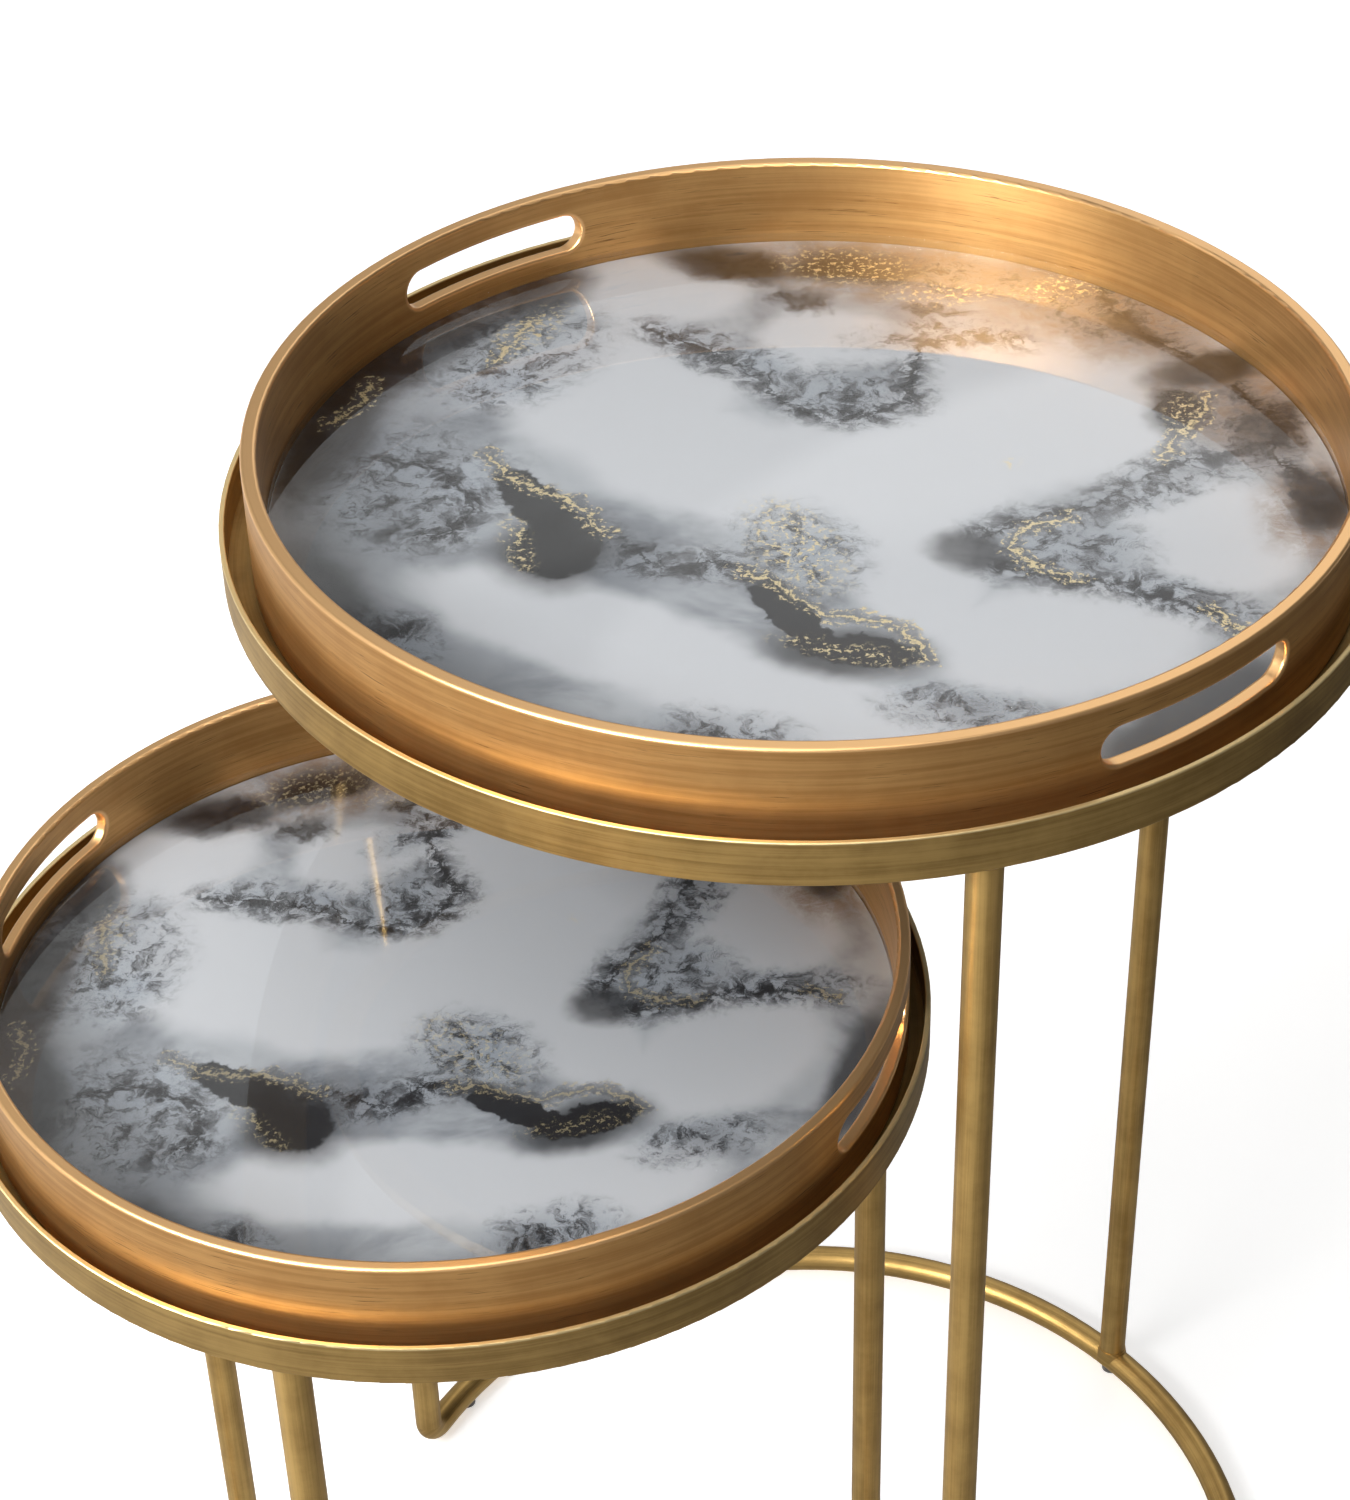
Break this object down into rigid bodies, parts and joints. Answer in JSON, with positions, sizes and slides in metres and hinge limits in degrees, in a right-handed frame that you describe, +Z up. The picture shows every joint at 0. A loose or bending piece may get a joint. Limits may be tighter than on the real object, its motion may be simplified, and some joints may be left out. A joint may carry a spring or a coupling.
{
  "type": "nesting tables",
  "caption": "Round tray tables that nest: lift-off trays with hand slots and printed glass tops on slim brass-finished frames, the small one sliding in under the large one.",
  "frame": {"origin": "middle of the pair's footprint box on the floor, with the small table pulled out as set out", "axes": "+Z is up; the small table stands out towards -X and -Y, so the pair is looked at from -Y"},
  "size_m": [0.5144, 0.4982, 0.6328],
  "materials": {
    "tray_gold": "antique gold metallic lacquer, satin, over bent ply",
    "board": "plain fibreboard",
    "backing_felt": "black needle felt",
    "marble_print": "printed sheet, poured ink marbling in white, grey and black with gold veins",
    "clear_glass": "clear tempered glass, polished",
    "frame_brass": "steel with a brushed antique brass plating under lacquer",
    "bumper_rubber": "black rubber",
    "glide_plastic": "clear-to-milky plastic"
  },
  "bodies": {
    "large_frame": {"large_hoop": "frame_brass", "large_ledge": "frame_brass", "large_leg_back": "frame_brass", "large_leg_left": "frame_brass", "large_leg_right": "frame_brass", "large_floor_ring": "frame_brass", "large_welds": "frame_brass", "large_rest_pads": "bumper_rubber", "large_glides": "glide_plastic"},
    "large_tray": {"large_tray_wall": "tray_gold", "large_tray_backing": "backing_felt", "large_tray_board": "board", "large_tray_print": "marble_print", "large_tray_glass": "clear_glass"},
    "small_frame": {"small_hoop": "frame_brass", "small_ledge": "frame_brass", "small_leg_back": "frame_brass", "small_leg_left": "frame_brass", "small_leg_right": "frame_brass", "small_floor_ring": "frame_brass", "small_welds": "frame_brass", "small_rest_pads": "bumper_rubber", "small_glides": "glide_plastic"},
    "small_tray": {"small_tray_wall": "tray_gold", "small_tray_backing": "backing_felt", "small_tray_board": "board", "small_tray_print": "marble_print", "small_tray_glass": "clear_glass"}
  },
  "joints": [
    {"name": "small_table_slide", "type": "slide", "parent": "large_frame", "child": "small_frame", "axis": [0.7524, 0.6587, 0], "range_m": [-0.25, 0.172]},
    {"name": "large_tray_lift", "type": "slide", "parent": "large_frame", "child": "large_tray", "axis": [0, 0, 1], "range_m": [0, 0.15]},
    {"name": "small_tray_lift", "type": "slide", "parent": "small_frame", "child": "small_tray", "axis": [0, 0, 1], "range_m": [0, 0.09]}
  ]
}
